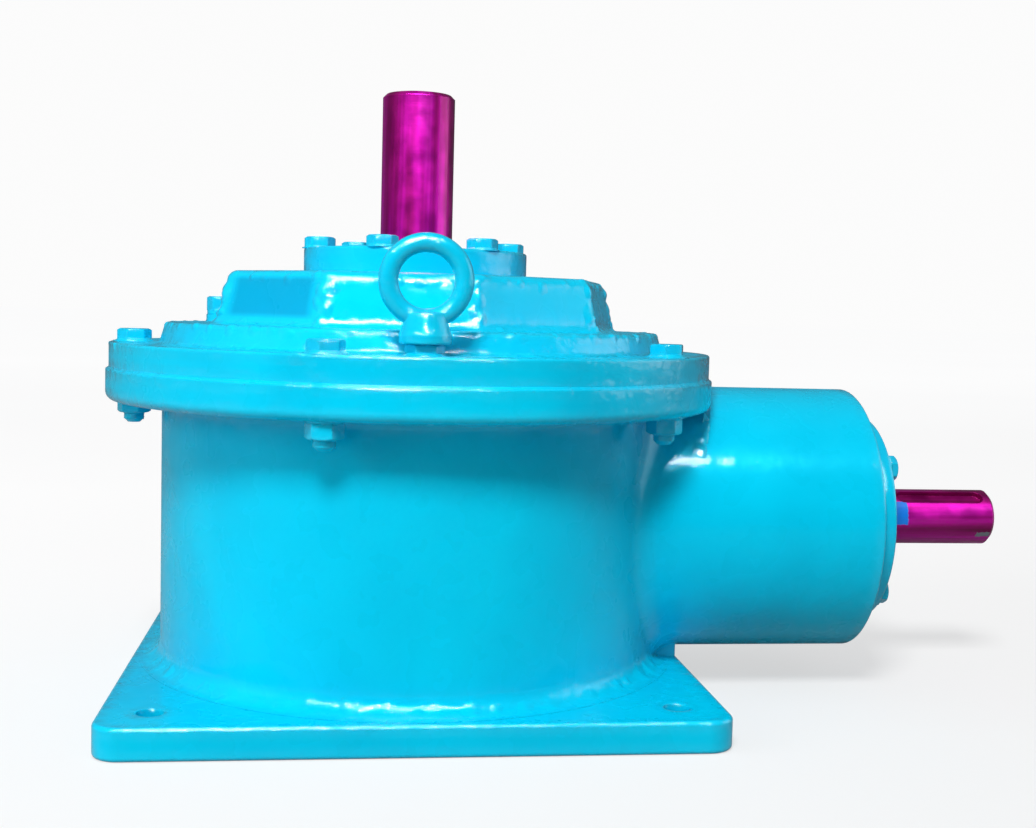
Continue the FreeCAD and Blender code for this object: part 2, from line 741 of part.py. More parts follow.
def foot_plate():
    plate = Part.makeBox(base_half * 2, base_half * 2, BASE_THICKNESS, vec(-base_half, -base_half, 0))
    upright = [e for e in plate.Edges if abs(e.tangentAt(e.FirstParameter).z) > 0.9]
    plate = plate.makeFillet(BASE_CORNER_RADIUS, upright)
    level = [e for e in plate.Edges if e.BoundBox.ZLength < 1e-6]
    plate = plate.makeFillet(BASE_EDGE_RADIUS, level)
    holes = []
    for x in (-foot_hole_place, foot_hole_place):
        for y in (-foot_hole_place, foot_hole_place):
            holes.append(rod(FOOT_HOLE_RADIUS, 0, BASE_THICKNESS).translated(vec(x, y, 0)))
    return plate.cut(holes)


def drum_and_barrel():
    """Two crossing cylinders with the casting's blend all round where they meet."""
    spare = BARREL_BLEND_RADIUS * 2
    drum = rod(DRUM_RADIUS, -spare, parting_height + spare)
    barrel = turned(
        [(0, 0), (BARREL_RADIUS, 0), (BARREL_RADIUS, barrel_end, BARREL_END_ROUNDING), (0, barrel_end)]
    )
    both = drum.fuse(onto_input_axis(barrel))
    meeting = []
    for edge in both.Edges:
        middle = edge.valueAt((edge.FirstParameter + edge.LastParameter) / 2)
        on_drum = abs(math.hypot(middle.x, middle.y) - DRUM_RADIUS) < 0.01
        on_barrel = abs(math.hypot(middle.y, middle.z - input_axis_height) - BARREL_RADIUS) < 0.01
        if on_drum and on_barrel:
            meeting.append(edge)
    blended = both.makeFillet(BARREL_BLEND_RADIUS, meeting)
    wide = barrel_end * 2
    return blended.common(Part.makeBox(wide * 2, wide * 2, parting_height, vec(-wide, -wide, 0)))


def case_cavity():
    """Everything that the core leaves open inside the drum and the barrel."""
    drum = rod(drum_bore, BASE_THICKNESS, parting_height)
    inner_tube = onto_input_axis(rod(BARREL_RADIUS, barrel_inner_face, barrel_end - 1))
    barrel_core = onto_input_axis(
        rod(BARREL_RADIUS - BARREL_WALL, barrel_inner_face + BARREL_INNER_WALL, barrel_end - BARREL_END_WALL)
    )
    bore = onto_input_axis(rod(barrel_bore, PINION_SHOULDER - FACE_WIDTH, barrel_end))
    return fused([drum.cut(inner_tube), barrel_core, bore])


def lower_boss():
    """Blind housing of the lower bearing, on the floor of the case."""
    top = lower_cone_back + RUNNING_GAP * 2
    return turned(
        [
            (lower_bore, BASE_THICKNESS),
            (lower_bore, top),
            (lower_bore + DRUM_WALL, top),
            (lower_bore + DRUM_WALL + 4, BASE_THICKNESS),
        ]
    )


def side_boss(degrees, height):
    """Round pad on the drum for an oil fitting, square to the drum's wall."""
    start = drum_bore + DRUM_WALL / 2
    pad = Part.makeCylinder(BOSS_RADIUS, DRUM_RADIUS + BOSS_PROUD - start, vec(start, 0, height), OUT)
    return pad.rotated(ORIGIN, UP, degrees)


def side_hole(degrees, height, radius):
    hole = Part.makeCylinder(radius, DRUM_WALL + BOSS_PROUD + 10, vec(drum_bore - 5, 0, height), OUT)
    return hole.rotated(ORIGIN, UP, degrees)


def case():
    """Drum, barrel, foot and flange in one casting."""
    flange_foot = parting_height - CASE_FLANGE_THICKNESS
    flange = turned(
        [
            (0, flange_foot - DRUM_FOOT_FILLET),
            (DRUM_RADIUS, flange_foot - DRUM_FOOT_FILLET),
            (DRUM_RADIUS, flange_foot, CASE_FLANGE_ROUNDING),
            (case_flange_radius, flange_foot, CASE_FLANGE_ROUNDING),
            (case_flange_radius, parting_height, 1.0),
            (0, parting_height),
        ]
    )
    foot_ring = turned(
        [
            (0, BASE_THICKNESS / 2),
            (DRUM_RADIUS + DRUM_FOOT_FILLET * 1.2, BASE_THICKNESS / 2),
            (DRUM_RADIUS + DRUM_FOOT_FILLET * 1.2, BASE_THICKNESS + 0.2),
            (DRUM_RADIUS, BASE_THICKNESS + 0.2, DRUM_FOOT_FILLET),
            (DRUM_RADIUS, BASE_THICKNESS + DRUM_FOOT_FILLET * 1.3),
            (0, BASE_THICKNESS + DRUM_FOOT_FILLET * 1.3),
        ]
    )
    saddle_end = base_half - BASE_EDGE_RADIUS
    barrel_rise = math.sqrt(BARREL_RADIUS**2 - (SADDLE_WIDTH / 2) ** 2)
    saddle_foot = BASE_THICKNESS / 2
    saddle = Part.makeBox(
        saddle_end - drum_bore,
        SADDLE_WIDTH,
        input_axis_height - barrel_rise + 0.5 - saddle_foot,
        vec(drum_bore, -SADDLE_WIDTH / 2, saddle_foot),
    )
    outside = fused([drum_and_barrel(), flange, foot_ring, foot_plate(), saddle])
    outside = fused([outside, side_boss(DRAIN_ANGLE, DRAIN_HEIGHT), side_boss(SIGHT_ANGLE, SIGHT_HEIGHT)])
    hollow = outside.cut(case_cavity())
    body = fused([hollow, lower_boss()])
    bolt_hole = rod(M16[0] + BOLT_HOLE_CLEARANCE, flange_foot - 1, parting_height)
    holes = [bolt_hole.translated(p) for p in cover_bolt_places(0)]
    eye_hole = rod(M16[0] + STATIC_FIT, parting_height - EYE_SHANK_REACH, parting_height)
    holes += [eye_hole.translated(p) for p in eye_places(0)]
    tapped = rod(M12[0] + STATIC_FIT, barrel_end - BARREL_END_WALL * 0.8, barrel_end)
    holes += [onto_input_axis(tapped.translated(p)) for p in input_cap_bolt_places(0)]
    holes.append(side_hole(DRAIN_ANGLE, DRAIN_HEIGHT, PLUG_THREAD_RADIUS + STATIC_FIT))
    holes.append(side_hole(SIGHT_ANGLE, SIGHT_HEIGHT, SIGHT_GLASS_RADIUS))
    return body.cut(holes)


def crown_outline(inradius, z):
    """Closed nine-cornered outline whose first face looks at the crown's face angle."""
    corner = inradius / math.cos(math.pi / CROWN_SIDES)
    turns = [crown_first_corner + 360 * i / CROWN_SIDES for i in range(CROWN_SIDES)]
    points = [polar(corner, turn, z) for turn in turns]
    return Part.makePolygon(points + points[:1])


def crown_block():
    """Crown with drafted walls, rounded corners and a rounded top edge."""
    outlines = [crown_outline(crown_foot_inradius, step_top), crown_outline(crown_top_inradius, crown_top)]
    block = Part.makeLoft(outlines, True, True)
    rounded = [e for e in block.Edges if e.BoundBox.ZMax > step_top + 1]
    return block.makeFillet(CROWN_EDGE_RADIUS, rounded)


def cover():
    """Bolted lid that carries the upper bearing in a hub under its crown."""
    plate = turned(
        [
            (0, cover_base),
            (cover_flange_radius, cover_base, 1.0),
            (cover_flange_radius, cover_flange_top, 2.0),
            (step_foot_radius, cover_flange_top, 3.0),
            (step_radius, step_top, 4.0),
            (0, step_top),
        ]
    )
    body = plate.fuse(crown_block())
    crown_reach = crown_foot_inradius / math.cos(math.pi / CROWN_SIDES) + 1
    meeting = []
    for edge in body.Edges:
        level = edge.BoundBox.ZLength < 0.01 and abs(edge.BoundBox.ZMin - step_top) < 0.01
        middle = edge.valueAt((edge.FirstParameter + edge.LastParameter) / 2)
        if level and math.hypot(middle.x, middle.y) < crown_reach:
            meeting.append(edge)
    body = body.makeFillet(CROWN_FOOT_FILLET, meeting)
    spigot_outer = drum_bore - STATIC_FIT * 4
    spigot_foot = cover_base - COVER_SPIGOT_DEPTH
    spigot = ring(spigot_outer, spigot_outer - COVER_SPIGOT_WALL, spigot_foot, cover_base + 1)
    ceiling = step_top - COVER_WALL
    hollow_radius = crown_top_inradius - COVER_WALL
    hollow = turned(
        [
            (0, cover_base - 1),
            (spigot_outer - COVER_SPIGOT_WALL, cover_base - 1),
            (spigot_outer - COVER_SPIGOT_WALL, cover_base + 2),
            (step_radius - COVER_WALL, cover_base + COVER_WALL),
            (step_radius - COVER_WALL, ceiling, 4.0),
            (hollow_radius, ceiling),
            (hollow_radius, crown_top - COVER_WALL, 10.0),
            (0, crown_top - COVER_WALL),
        ]
    )
    hub_foot = upper_cone_back - RUNNING_GAP * 2
    hub = rod(hub_outer, hub_foot, crown_top - COVER_WALL / 2)
    rib = Part.makeBox(
        hollow_radius - hub_outer + COVER_WALL,
        COVER_RIB_THICKNESS,
        crown_top - COVER_WALL / 2 - hub_foot,
        vec(hub_outer - COVER_WALL / 2, -COVER_RIB_THICKNESS / 2, hub_foot),
    )
    ribs = around(rib, CROWN_SIDES, crown_first_corner)
    filler_place = polar(step_radius - FILLER_INSET, FILLER_ANGLE)
    boss = rod(FILLER_BOSS_RADIUS, ceiling, step_top + FILLER_BOSS_PROUD).translated(filler_place)
    shell = fused([body, boss]).cut(hollow)
    shell = fused([shell, spigot, hub] + ribs)
    holes = [rod(upper_bore, hub_foot - 1, crown_top)]
    bolt_hole = rod(M16[0] + BOLT_HOLE_CLEARANCE, cover_base, cover_flange_top)
    holes += [bolt_hole.translated(p) for p in cover_bolt_places(0)]
    eye_hole = rod(M16[0] + STATIC_FIT, cover_base, cover_flange_top)
    holes += [eye_hole.translated(p) for p in eye_places(0)]
    tapped = rod(M14[0] + STATIC_FIT, crown_top - M14[0] * 3.1, crown_top)
    holes += [tapped.translated(p) for p in output_cap_bolt_places(0)]
    plug_hole = rod(PLUG_THREAD_RADIUS + STATIC_FIT, ceiling - 1, step_top + FILLER_BOSS_PROUD)
    holes.append(plug_hole.translated(filler_place))
    return shell.cut(holes)


def cover_gasket():
    """Thin joint between the case and the cover."""
    body = ring(cover_flange_radius - 1, drum_bore + STATIC_FIT * 4, parting_height, cover_base)
    holes = [
        rod(M16[0] + BOLT_HOLE_CLEARANCE, parting_height, cover_base).translated(p) for p in cover_bolt_places(0)
    ]
    holes += [rod(M16[0] + STATIC_FIT, parting_height, cover_base).translated(p) for p in eye_places(0)]
    return body.cut(holes)


def output_cap():
    """Bolted cap that holds the upper bearing's cup down and carries the oil seal."""
    pocket = output_journal_radius + SEAL_HEIGHT + STATIC_FIT
    spigot = upper_bore - STATIC_FIT * 2
    bore = output_journal_radius + RUNNING_GAP
    body = turned(
        [
            (bore, output_cap_top - SEAL_DEPTH - 6),
            (pocket, output_cap_top - SEAL_DEPTH - 6),
            (pocket, upper_cup_back),
            (spigot, upper_cup_back),
            (spigot, crown_top),
            (OUTPUT_CAP_RADIUS, crown_top),
            (OUTPUT_CAP_RADIUS, output_cap_top, 2.0),
            (pocket, output_cap_top),
            (pocket, output_cap_top - SEAL_DEPTH),
            (bore, output_cap_top - SEAL_DEPTH),
        ]
    )
    hole = rod(M14[0] + BOLT_HOLE_CLEARANCE / 2, crown_top, output_cap_top)
    return body.cut([hole.translated(p) for p in output_cap_bolt_places(0)])


def lip_seal(shaft_radius, top):
    """Radial shaft seal with a dished outer face, just under z = top."""
    inner = shaft_radius + SEAL_CLEARANCE
    outer = shaft_radius + SEAL_HEIGHT
    return turned(
        [
            (inner, top - SEAL_DEPTH * 0.55),
            (inner + 2.5, top - SEAL_DEPTH),
            (outer, top - SEAL_DEPTH),
            (outer, top),
            (outer - 2.5, top),
            (outer - 4, top - 2),
            (inner + 3.5, top - 2),
            (inner + 1.5, top - 0.5),
            (inner, top - 1),
        ]
    )


def pinion_sleeve():
    """Cartridge that holds both pinion bearings and slides into the barrel."""
    rib = cartridge_bore - SLEEVE_RIB_HEIGHT
    nose = PINION_SHOULDER - RUNNING_GAP * 2
    body = turned(
        [
            (cartridge_bore, nose),
            (sleeve_radius, nose),
            (sleeve_radius, barrel_end),
            (input_cap_radius, barrel_end),
            (input_cap_radius, sleeve_flange_face, 1.0),
            (cartridge_bore, sleeve_flange_face),
            (cartridge_bore, outer_cup_back),
            (rib, outer_cup_back),
            (rib, inner_cup_back),
            (cartridge_bore, inner_cup_back),
        ]
    )
    hole = rod(M12[0] + BOLT_HOLE_CLEARANCE / 2, barrel_end, sleeve_flange_face)
    return onto_input_axis(body.cut([hole.translated(p) for p in input_cap_bolt_places(0)]))


def input_cap():
    """End cap over the cartridge, with the input oil seal in its face."""
    pocket = input_journal_radius + SEAL_HEIGHT + STATIC_FIT
    spigot = cartridge_bore - STATIC_FIT * 2
    bore = input_journal_radius + RUNNING_GAP
    back = input_cap_face - SEAL_DEPTH - 5
    body = turned(
        [
            (bore, back),
            (spigot, back),
            (spigot, sleeve_flange_face),
            (input_cap_radius, sleeve_flange_face),
            (input_cap_radius, input_cap_face, 2.0),
            (pocket, input_cap_face),
            (pocket, input_cap_face - SEAL_DEPTH),
            (bore, input_cap_face - SEAL_DEPTH),
        ]
    )
    hole = rod(M12[0] + BOLT_HOLE_CLEARANCE / 2, sleeve_flange_face, input_cap_face)
    return onto_input_axis(body.cut([hole.translated(p) for p in input_cap_bolt_places(0)]))


# Small pieces


def locknut():
    """Round slotted nut that sets the pinion bearings."""
    start = outer_cone_back + LOCKWASHER_THICKNESS
    body = turned(
        [
            (PINION_OUTER_BEARING[0] / 2, start),
            (LOCKNUT_RADIUS, start),
            (LOCKNUT_RADIUS, start + LOCKNUT_WIDTH, 1.0),
            (PINION_OUTER_BEARING[0] / 2, start + LOCKNUT_WIDTH),
        ]
    )
    slot = Part.makeBox(6, 7, LOCKNUT_WIDTH, vec(LOCKNUT_RADIUS - 3, -3.5, start))
    return onto_input_axis(body.cut(around(slot, 4)))


def lockwasher():
    start = outer_cone_back
    body = ring(LOCKNUT_RADIUS - 1, PINION_OUTER_BEARING[0] / 2, start, start + LOCKWASHER_THICKNESS)
    return onto_input_axis(body)


def cone_spacer():
    inner = PINION_OUTER_BEARING[0] / 2
    outer = PINION_INNER_BEARING[0] / 2 + 6
    return onto_input_axis(ring(outer, inner, inner_cone_front, outer_cone_front))


def cover_bolts():
    grip = cover_flange_top - (parting_height - CASE_FLANGE_THICKNESS)
    piece = bolt(M16, grip + M16[3] + BOLT_END_PROUD, 3.0).rotated(ORIGIN, UP, COVER_HEAD_TURN)
    return [piece.translated(p) for p in cover_bolt_places(cover_flange_top)]


def cover_nuts():
    piece = nut(M16, M16[3]).rotated(ORIGIN, UP, COVER_NUT_TURN)
    return [piece.translated(p) for p in cover_bolt_places(parting_height - CASE_FLANGE_THICKNESS)]


def output_cap_bolts():
    piece = bolt(M14, OUTPUT_CAP_THICKNESS + M14[0] * 2.5)
    return [piece.translated(p) for p in output_cap_bolt_places(output_cap_top)]


def input_cap_bolts():
    grip = INPUT_CAP_THICKNESS + SLEEVE_FLANGE_THICKNESS + M12[0] * 3
    piece = bolt(M12, grip)
    return [onto_input_axis(piece.translated(p)) for p in input_cap_bolt_places(input_cap_face)]


def eyebolt(place):
    """Forged lifting eye: a ring on a flared collar above a threaded shank."""
    foot = cover_flange_top + EYE_NUT_HEIGHT
    centre_height = foot + EYE_RING_HEIGHT
    ring_radius = EYE_HOLE_RADIUS + EYE_BAR_RADIUS
    eye = Part.makeTorus(ring_radius, EYE_BAR_RADIUS, vec(0, 0, centre_height), vec(0, 1, 0))
    neck_top = centre_height - EYE_HOLE_RADIUS - EYE_BAR_RADIUS * 0.35
    collar = turned(
        [
            (0, foot),
            (EYE_COLLAR_RADIUS, foot, 1.5),
            (EYE_COLLAR_RADIUS, foot + EYE_COLLAR_HEIGHT * 0.45, 2.0),
            (EYE_COLLAR_RADIUS * 0.72, neck_top, 2.0),
            (0, neck_top),
        ]
    )
    hole = Part.makeCylinder(
        EYE_HOLE_RADIUS, 4 * EYE_COLLAR_RADIUS, vec(0, -2 * EYE_COLLAR_RADIUS, centre_height), vec(0, 1, 0)
    )
    shank = rod(M16[0], parting_height - EYE_SHANK_REACH + 2, foot + 1)
    return fused([eye, collar.cut(hole), shank]).translated(vec(place.x, place.y, 0))


def eyebolt_nuts():
    piece = nut(M16, EYE_NUT_HEIGHT)
    return [piece.translated(p) for p in eye_places(cover_flange_top + EYE_NUT_HEIGHT)]


def hex_plug():
    """Collared hexagon plug standing on z = 0 with its thread below."""
    collar = rod(PLUG_ACROSS_FLATS / 2 * 1.12, 0, PLUG_COLLAR_HEIGHT)
    head = hexagon(PLUG_ACROSS_FLATS, PLUG_COLLAR_HEIGHT - 0.5, PLUG_COLLAR_HEIGHT + PLUG_HEAD_HEIGHT)
    thread = rod(PLUG_THREAD_RADIUS, -COVER_WALL, 0.5)
    return fused([collar, head, thread])


def onto_drum(shape, degrees, height):
    """Stands a piece made on z = 0 on a side boss, square to the drum."""
    laid = shape.rotated(ORIGIN, vec(0, 1, 0), 90).translated(vec(DRUM_RADIUS + BOSS_PROUD, 0, height))
    return laid.rotated(ORIGIN, UP, degrees)


def filler_plug():
    place = polar(step_radius - FILLER_INSET, FILLER_ANGLE, step_top + FILLER_BOSS_PROUD)
    return hex_plug().translated(place)


def drain_plug():
    return onto_drum(hex_plug(), DRAIN_ANGLE, DRAIN_HEIGHT)


def sight_bezel():
    """Screwed ring round the oil sight glass."""
    body = turned(
        [
            (SIGHT_GLASS_RADIUS + STATIC_FIT, 0),
            (SIGHT_BEZEL_RADIUS, 0),
            (SIGHT_BEZEL_RADIUS, SIGHT_BEZEL_HEIGHT, 2.0),
            (SIGHT_GLASS_RADIUS - 2, SIGHT_BEZEL_HEIGHT),
            (SIGHT_GLASS_RADIUS - 2, SIGHT_BEZEL_HEIGHT - 2),
            (SIGHT_GLASS_RADIUS + STATIC_FIT, SIGHT_BEZEL_HEIGHT - 2),
        ]
    )
    return onto_drum(body, SIGHT_ANGLE, SIGHT_HEIGHT)


def sight_glass():
    return onto_drum(rod(SIGHT_GLASS_RADIUS, 0, SIGHT_BEZEL_HEIGHT - 2), SIGHT_ANGLE, SIGHT_HEIGHT)


def build():
    """Every sub-part by its node name. A list is a group of separate identical pieces."""
    eyes = eye_places(0)
    nodes = {
        "case": case(),
        "cover": cover(),
        "cover_gasket": cover_gasket(),
        "cover_bolts": cover_bolts(),
        "cover_nuts": cover_nuts(),
        "output_cap": output_cap(),
        "output_cap_bolts": output_cap_bolts(),
        "output_seal": lip_seal(output_journal_radius, output_cap_top),
        "output_shaft": output_shaft(),
        "crown_wheel": crown_wheel(),
        "wheel_hub": wheel_hub(),
        "wheel_bolts": wheel_bolts(),
        "wheel_key": wheel_key(),
        "wheel_spacer": wheel_spacer(),
        "pinion_shaft": pinion_shaft(),
        "pinion_sleeve": pinion_sleeve(),
        "input_cap": input_cap(),
        "input_cap_bolts": input_cap_bolts(),
        "input_seal": onto_input_axis(lip_seal(input_journal_radius, input_cap_face)),
        "bearing_locknut": locknut(),
        "bearing_lockwasher": lockwasher(),
        "cone_spacer": cone_spacer(),
        "lifting_eye_front": eyebolt(eyes[0]),
        "lifting_eye_rear": eyebolt(eyes[1]),
        "lifting_eye_nuts": eyebolt_nuts(),
        "filler_plug": filler_plug(),
        "drain_plug": drain_plug(),
        "sight_glass_bezel": sight_bezel(),
        "sight_glass": sight_glass(),
    }
    nodes.update(place_bearings())
    return nodes


def main():
    os.makedirs("parts", exist_ok=True)
    for name, shape in build().items():
        if isinstance(shape, list):
            shape = Part.makeCompound(shape)
        shape.exportStep("parts/" + name + ".step")


main()
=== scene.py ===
"""Looks of the bevel gearbox: thick cyan enamel on the castings, pink lacquer on the two shaft ends."""

import math
import random

import bpy
from mathutils import Matrix, Vector, noise
from mathutils.bvhtree import BVHTree


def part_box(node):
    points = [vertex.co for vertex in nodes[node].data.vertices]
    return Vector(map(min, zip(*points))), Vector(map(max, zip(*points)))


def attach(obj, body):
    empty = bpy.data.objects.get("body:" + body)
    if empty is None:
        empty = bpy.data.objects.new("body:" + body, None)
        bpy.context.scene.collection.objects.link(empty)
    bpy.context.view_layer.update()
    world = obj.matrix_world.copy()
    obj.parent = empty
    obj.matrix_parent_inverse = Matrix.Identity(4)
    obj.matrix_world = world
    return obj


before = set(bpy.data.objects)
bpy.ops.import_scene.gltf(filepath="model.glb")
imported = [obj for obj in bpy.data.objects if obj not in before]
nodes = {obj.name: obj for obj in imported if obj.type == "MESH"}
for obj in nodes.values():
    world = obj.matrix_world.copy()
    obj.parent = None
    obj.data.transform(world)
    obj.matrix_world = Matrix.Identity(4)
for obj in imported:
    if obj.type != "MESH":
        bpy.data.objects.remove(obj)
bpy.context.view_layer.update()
random.seed(11)

# Places on the solids, in metres and degrees
AXIS_Z = 0.140
JOINT_Z = 0.260
FLANGE_BOLT_RADIUS = 0.230
FLANGE_BOLT_FIRST_ANGLE = 36
FLANGE_BOLTS = 5
FLANGE_HEAD_HEIGHT = 0.010
FLANGE_NUT_HEIGHT = 0.013
EYE_ANGLE = 89
OUTPUT_BOLT_RADIUS = 0.0805
OUTPUT_BOLT_FIRST_ANGLE = 8
OUTPUT_BOLTS = 6
INPUT_BOLT_RADIUS = 0.0751
INPUT_BOLT_FIRST_ANGLE = 49.5
INPUT_BOLTS = 4
CROWN_SIDES = 9
CROWN_FACE_ANGLE = 263.4
SIGHT_PLACE = (0, 0.2075, 0.112)

# Radius of the paint round each hexagon, between its flats and its corners
FLANGE_HEX_RADIUS = 0.0128
EYE_NUT_RADIUS = 0.0130
OUTPUT_HEX_RADIUS = 0.0118
INPUT_HEX_RADIUS = 0.0102

# Radius of the cover bolts' threaded ends
THREAD_RADIUS = 0.0079

# Where thick paint gathers. Rays find the surface from these places, so they lie near it, not on it.
# Each band has a radius and a height.
CROWN_FOOT = (0.170, 0.2995)
STEP_TOP = (0.2045, 0.2965)
STEP_FOOT = (0.213, 0.2830)
FLANGE_TOP = (0.249, 0.2800)
JOINT_EDGE = (0.249, 0.2590)
DRUM_FOOT = (0.213, 0.0300)

# The crown's top edge and corners, from the upright axis
CROWN_TOP_RADIUS = 0.158
CROWN_CORNER_RADIUS = 0.170
CROWN_CORNER_LOW, CROWN_CORNER_HIGH = 0.301, 0.336

# The blend between the drum and the barrel, from the input axis and along it
BLEND_REACH = 0.118
BLEND_START, BLEND_END = 0.165, 0.255

# The farthest that lumps reach from the upright axis, just inside the flange's edge
LARGEST_RADIUS = 0.2497

# Studio
KEY_LIGHT_PLACE = (-0.5, -2.1, 2.4)


# Node materials

def new_material(name):
    """Empty node material with a Principled surface."""
    mat = bpy.data.materials.new(name)
    mat.use_nodes = True
    tree = mat.node_tree
    tree.nodes.clear()
    out = tree.nodes.new("ShaderNodeOutputMaterial")
    bsdf = tree.nodes.new("ShaderNodeBsdfPrincipled")
    tree.links.new(bsdf.outputs["BSDF"], out.inputs["Surface"])
    return mat, tree, bsdf


def object_coordinates(tree, scale=(1, 1, 1)):
    """Coordinates in metres, which travel with the piece."""
    where = tree.nodes.new("ShaderNodeTexCoord")
    mapping = tree.nodes.new("ShaderNodeMapping")
    mapping.inputs["Scale"].default_value = scale
    tree.links.new(where.outputs["Object"], mapping.inputs["Vector"])
    return mapping.outputs["Vector"]


def noise_value(tree, vector, scale, detail=2.0, roughness=0.5, distortion=0.0):
    """Cloudy value between 0 and 1."""
    n = tree.nodes.new("ShaderNodeTexNoise")
    n.inputs["Scale"].default_value = scale
    n.inputs["Detail"].default_value = detail
    n.inputs["Roughness"].default_value = roughness
    n.inputs["Distortion"].default_value = distortion
    tree.links.new(vector, n.inputs["Vector"])
    return n.outputs["Fac"]


def ramp(tree, value, stops):
    """Colour ramp with (place, colour) stops."""
    r = tree.nodes.new("ShaderNodeValToRGB")
    tree.links.new(value, r.inputs["Fac"])
    elements = r.color_ramp.elements
    while len(elements) < len(stops):
        elements.new(0.5)
    for element, (place, colour) in zip(elements, stops):
        element.position = place
        element.color = (*colour, 1.0)
    return r.outputs["Color"]


def fit_range(tree, value, low, high, to_low, to_high):
    """The value, moved from one range to another."""
    m = tree.nodes.new("ShaderNodeMapRange")
    m.inputs["From Min"].default_value = low
    m.inputs["From Max"].default_value = high
    m.inputs["To Min"].default_value = to_low
    m.inputs["To Max"].default_value = to_high
    tree.links.new(value, m.inputs["Value"])
    return m.outputs["Result"]


def bump(tree, height, distance, strength, normal=None):
    """Normal of a surface that carries this height. The strength is a number or a socket."""
    b = tree.nodes.new("ShaderNodeBump")
    if isinstance(strength, float):
        b.inputs["Strength"].default_value = strength
    else:
        tree.links.new(strength, b.inputs["Strength"])
    b.inputs["Distance"].default_value = distance
    tree.links.new(height, b.inputs["Height"])
    if normal is not None:
        tree.links.new(normal, b.inputs["Normal"])
    return b.outputs["Normal"]


def soft_edge(tree, radius, samples=6):
    """Normal that rounds off edges."""
    b = tree.nodes.new("ShaderNodeBevel")
    b.samples = samples
    b.inputs["Radius"].default_value = radius
    return b.outputs["Normal"]


def near_edge(tree, radius, low, high):
    """Low on flat paint and high where an edge or a corner is within the radius."""
    flat = tree.nodes.new("ShaderNodeNewGeometry")
    turned = tree.nodes.new("ShaderNodeVectorMath")
    turned.operation = "DOT_PRODUCT"
    tree.links.new(soft_edge(tree, radius), turned.inputs[0])
    tree.links.new(flat.outputs["Normal"], turned.inputs[1])
    return fit_range(tree, turned.outputs["Value"], 0.985, 0.9999, high, low)


def blend_colour(tree, factor, a, b):
    """Colour a where the factor is 0, b where it is 1. Each is a colour or a socket."""
    m = tree.nodes.new("ShaderNodeMix")
    m.data_type = "RGBA"
    tree.links.new(factor, m.inputs["Factor"])
    # A Mix node has its two colours at places 6 and 7, and the mixed colour at place 2
    for socket, value in ((m.inputs[6], a), (m.inputs[7], b)):
        if isinstance(value, tuple):
            socket.default_value = (*value, 1.0)
        else:
            tree.links.new(value, socket)
    return m.outputs[2]


def multiply(tree, a, b):
    """Product, kept between 0 and 1. Each factor is a number or a socket."""
    m = tree.nodes.new("ShaderNodeMath")
    m.operation = "MULTIPLY"
    m.use_clamp = True
    for socket, value in zip(m.inputs, (a, b)):
        if isinstance(value, (int, float)):
            socket.default_value = value
        else:
            tree.links.new(value, socket)
    return m.outputs["Value"]


def inside(tree, value, middle, reach, soft):
    """1 within reach of the middle and 0 beyond it."""
    away = tree.nodes.new("ShaderNodeMath")
    away.operation = "SUBTRACT"
    away.inputs[1].default_value = middle
    tree.links.new(value, away.inputs[0])
    size = tree.nodes.new("ShaderNodeMath")
    size.operation = "ABSOLUTE"
    tree.links.new(away.outputs[0], size.inputs[0])
    return fit_range(tree, size.outputs[0], reach - soft, reach + soft, 1.0, 0.0)


def painted_shade_facet(tree, here):
    """Mask of painted shade: a darker patch on the crown's face left of the front one."""
    split = tree.nodes.new("ShaderNodeSeparateXYZ")
    tree.links.new(here, split.inputs[0])
    turn = tree.nodes.new("ShaderNodeMath")
    turn.operation = "ARCTAN2"
    tree.links.new(split.outputs["Y"], turn.inputs[0])
    tree.links.new(split.outputs["X"], turn.inputs[1])
    facet = math.radians(CROWN_FACE_ANGLE - 360 / CROWN_SIDES - 360)
    wide = inside(tree, turn.outputs[0], facet, math.radians(16), 0.03)
    high = inside(tree, split.outputs["Z"], 0.3195, 0.0145, 0.002)
    return multiply(tree, wide, high)


